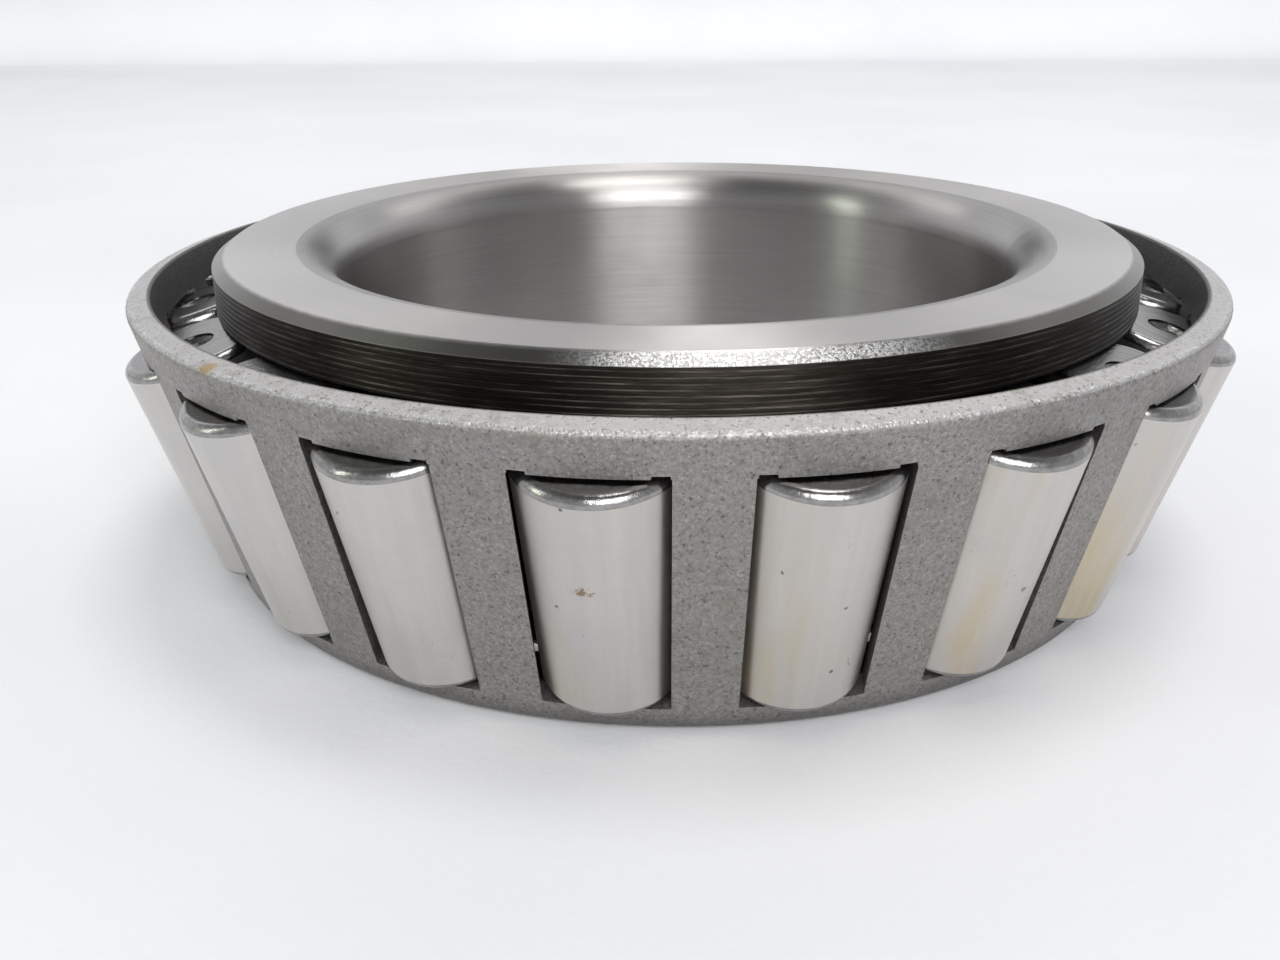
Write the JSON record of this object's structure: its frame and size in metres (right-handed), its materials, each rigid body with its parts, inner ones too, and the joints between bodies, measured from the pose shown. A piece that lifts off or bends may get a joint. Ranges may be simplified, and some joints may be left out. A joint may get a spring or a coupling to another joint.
{
  "type": "tapered roller bearing",
  "caption": "Tapered roller bearing cone assembly: an inner ring with a guiding rib, a pressed steel cage with pockets, and tapered rollers that roll between ring and cup.",
  "frame": {"origin": "on the bearing axis, at the lowest plane of the cage, which the bearing stands on", "axes": "+Z along the bearing axis towards the back face with the large rib; -Y towards the side seen from the front"},
  "size_m": [0.0964, 0.0964, 0.0274],
  "materials": {
    "ground_steel": "fine ground, satin",
    "pressed_steel": "tumbled grey, fine grain",
    "roller_steel": "fine ground, satin"
  },
  "bodies": {
    "inner_ring": {"inner_ring": "ground_steel"},
    "cage": {"cage": "pressed_steel"},
    "roller_01": {"roller_01": "roller_steel"},
    "roller_02": {"roller_02": "roller_steel"},
    "roller_03": {"roller_03": "roller_steel"},
    "roller_04": {"roller_04": "roller_steel"},
    "roller_05": {"roller_05": "roller_steel"},
    "roller_06": {"roller_06": "roller_steel"},
    "roller_07": {"roller_07": "roller_steel"},
    "roller_08": {"roller_08": "roller_steel"},
    "roller_09": {"roller_09": "roller_steel"},
    "roller_10": {"roller_10": "roller_steel"},
    "roller_11": {"roller_11": "roller_steel"},
    "roller_12": {"roller_12": "roller_steel"},
    "roller_13": {"roller_13": "roller_steel"},
    "roller_14": {"roller_14": "roller_steel"},
    "roller_15": {"roller_15": "roller_steel"},
    "roller_16": {"roller_16": "roller_steel"},
    "roller_17": {"roller_17": "roller_steel"},
    "roller_18": {"roller_18": "roller_steel"},
    "roller_19": {"roller_19": "roller_steel"}
  },
  "joints": [
    {"name": "cage_spin", "type": "hinge", "parent": "inner_ring", "child": "cage", "pos_m": [0, 0, 0.0137], "axis": [0, 0, 1], "continuous": true},
    {"name": "roller_01_spin", "type": "hinge", "parent": "cage", "child": "roller_01", "pos_m": [-0.03614, -0.01822, 0.01283], "axis": [-0.2311, -0.1165, 0.9659], "continuous": true},
    {"name": "roller_02_spin", "type": "hinge", "parent": "cage", "child": "roller_02", "pos_m": [-0.02827, -0.02897, 0.01283], "axis": [-0.1807, -0.1853, 0.9659], "continuous": true},
    {"name": "roller_03_spin", "type": "hinge", "parent": "cage", "child": "roller_03", "pos_m": [-0.01733, -0.03658, 0.01283], "axis": [-0.1108, -0.2339, 0.9659], "continuous": true},
    {"name": "roller_04_spin", "type": "hinge", "parent": "cage", "child": "roller_04", "pos_m": [-0.00451, -0.04022, 0.01283], "axis": [-0.0289, -0.2572, 0.9659], "continuous": true},
    {"name": "roller_05_spin", "type": "hinge", "parent": "cage", "child": "roller_05", "pos_m": [0.00879, -0.03951, 0.01283], "axis": [0.0562, -0.2526, 0.9659], "continuous": true},
    {"name": "roller_06_spin", "type": "hinge", "parent": "cage", "child": "roller_06", "pos_m": [0.02115, -0.03451, 0.01283], "axis": [0.1352, -0.2207, 0.9659], "continuous": true},
    {"name": "roller_07_spin", "type": "hinge", "parent": "cage", "child": "roller_07", "pos_m": [0.03121, -0.02578, 0.01283], "axis": [0.1995, -0.1648, 0.9659], "continuous": true},
    {"name": "roller_08_spin", "type": "hinge", "parent": "cage", "child": "roller_08", "pos_m": [0.03789, -0.01425, 0.01283], "axis": [0.2423, -0.0911, 0.9659], "continuous": true},
    {"name": "roller_09_spin", "type": "hinge", "parent": "cage", "child": "roller_09", "pos_m": [0.04046, -0.00117, 0.01283], "axis": [0.2587, -0.0075, 0.9659], "continuous": true},
    {"name": "roller_10_spin", "type": "hinge", "parent": "cage", "child": "roller_10", "pos_m": [0.03865, 0.01203, 0.01283], "axis": [0.2471, 0.0769, 0.9659], "continuous": true},
    {"name": "roller_11_spin", "type": "hinge", "parent": "cage", "child": "roller_11", "pos_m": [0.03265, 0.02392, 0.01283], "axis": [0.2088, 0.153, 0.9659], "continuous": true},
    {"name": "roller_12_spin", "type": "hinge", "parent": "cage", "child": "roller_12", "pos_m": [0.02311, 0.03323, 0.01283], "axis": [0.1478, 0.2125, 0.9659], "continuous": true},
    {"name": "roller_13_spin", "type": "hinge", "parent": "cage", "child": "roller_13", "pos_m": [0.01107, 0.03893, 0.01283], "axis": [0.0708, 0.2489, 0.9659], "continuous": true},
    {"name": "roller_14_spin", "type": "hinge", "parent": "cage", "child": "roller_14", "pos_m": [-0.00217, 0.04042, 0.01283], "axis": [-0.0139, 0.2584, 0.9659], "continuous": true},
    {"name": "roller_15_spin", "type": "hinge", "parent": "cage", "child": "roller_15", "pos_m": [-0.01518, 0.03752, 0.01283], "axis": [-0.097, 0.2399, 0.9659], "continuous": true},
    {"name": "roller_16_spin", "type": "hinge", "parent": "cage", "child": "roller_16", "pos_m": [-0.02654, 0.03056, 0.01283], "axis": [-0.1697, 0.1954, 0.9659], "continuous": true},
    {"name": "roller_17_spin", "type": "hinge", "parent": "cage", "child": "roller_17", "pos_m": [-0.03502, 0.02029, 0.01283], "axis": [-0.224, 0.1297, 0.9659], "continuous": true},
    {"name": "roller_18_spin", "type": "hinge", "parent": "cage", "child": "roller_18", "pos_m": [-0.03971, 0.00782, 0.01283], "axis": [-0.2539, 0.05, 0.9659], "continuous": true},
    {"name": "roller_19_spin", "type": "hinge", "parent": "cage", "child": "roller_19", "pos_m": [-0.0401, -0.0055, 0.01283], "axis": [-0.2564, -0.0352, 0.9659], "continuous": true}
  ],
  "couplings": [
    {"joint": "roller_01_spin", "follows": "cage_spin", "ratio": 6.4457},
    {"joint": "roller_02_spin", "follows": "cage_spin", "ratio": 6.4457},
    {"joint": "roller_03_spin", "follows": "cage_spin", "ratio": 6.4457},
    {"joint": "roller_04_spin", "follows": "cage_spin", "ratio": 6.4457},
    {"joint": "roller_05_spin", "follows": "cage_spin", "ratio": 6.4457},
    {"joint": "roller_06_spin", "follows": "cage_spin", "ratio": 6.4457},
    {"joint": "roller_07_spin", "follows": "cage_spin", "ratio": 6.4457},
    {"joint": "roller_08_spin", "follows": "cage_spin", "ratio": 6.4457},
    {"joint": "roller_09_spin", "follows": "cage_spin", "ratio": 6.4457},
    {"joint": "roller_10_spin", "follows": "cage_spin", "ratio": 6.4457},
    {"joint": "roller_11_spin", "follows": "cage_spin", "ratio": 6.4457},
    {"joint": "roller_12_spin", "follows": "cage_spin", "ratio": 6.4457},
    {"joint": "roller_13_spin", "follows": "cage_spin", "ratio": 6.4457},
    {"joint": "roller_14_spin", "follows": "cage_spin", "ratio": 6.4457},
    {"joint": "roller_15_spin", "follows": "cage_spin", "ratio": 6.4457},
    {"joint": "roller_16_spin", "follows": "cage_spin", "ratio": 6.4457},
    {"joint": "roller_17_spin", "follows": "cage_spin", "ratio": 6.4457},
    {"joint": "roller_18_spin", "follows": "cage_spin", "ratio": 6.4457},
    {"joint": "roller_19_spin", "follows": "cage_spin", "ratio": 6.4457}
  ]
}
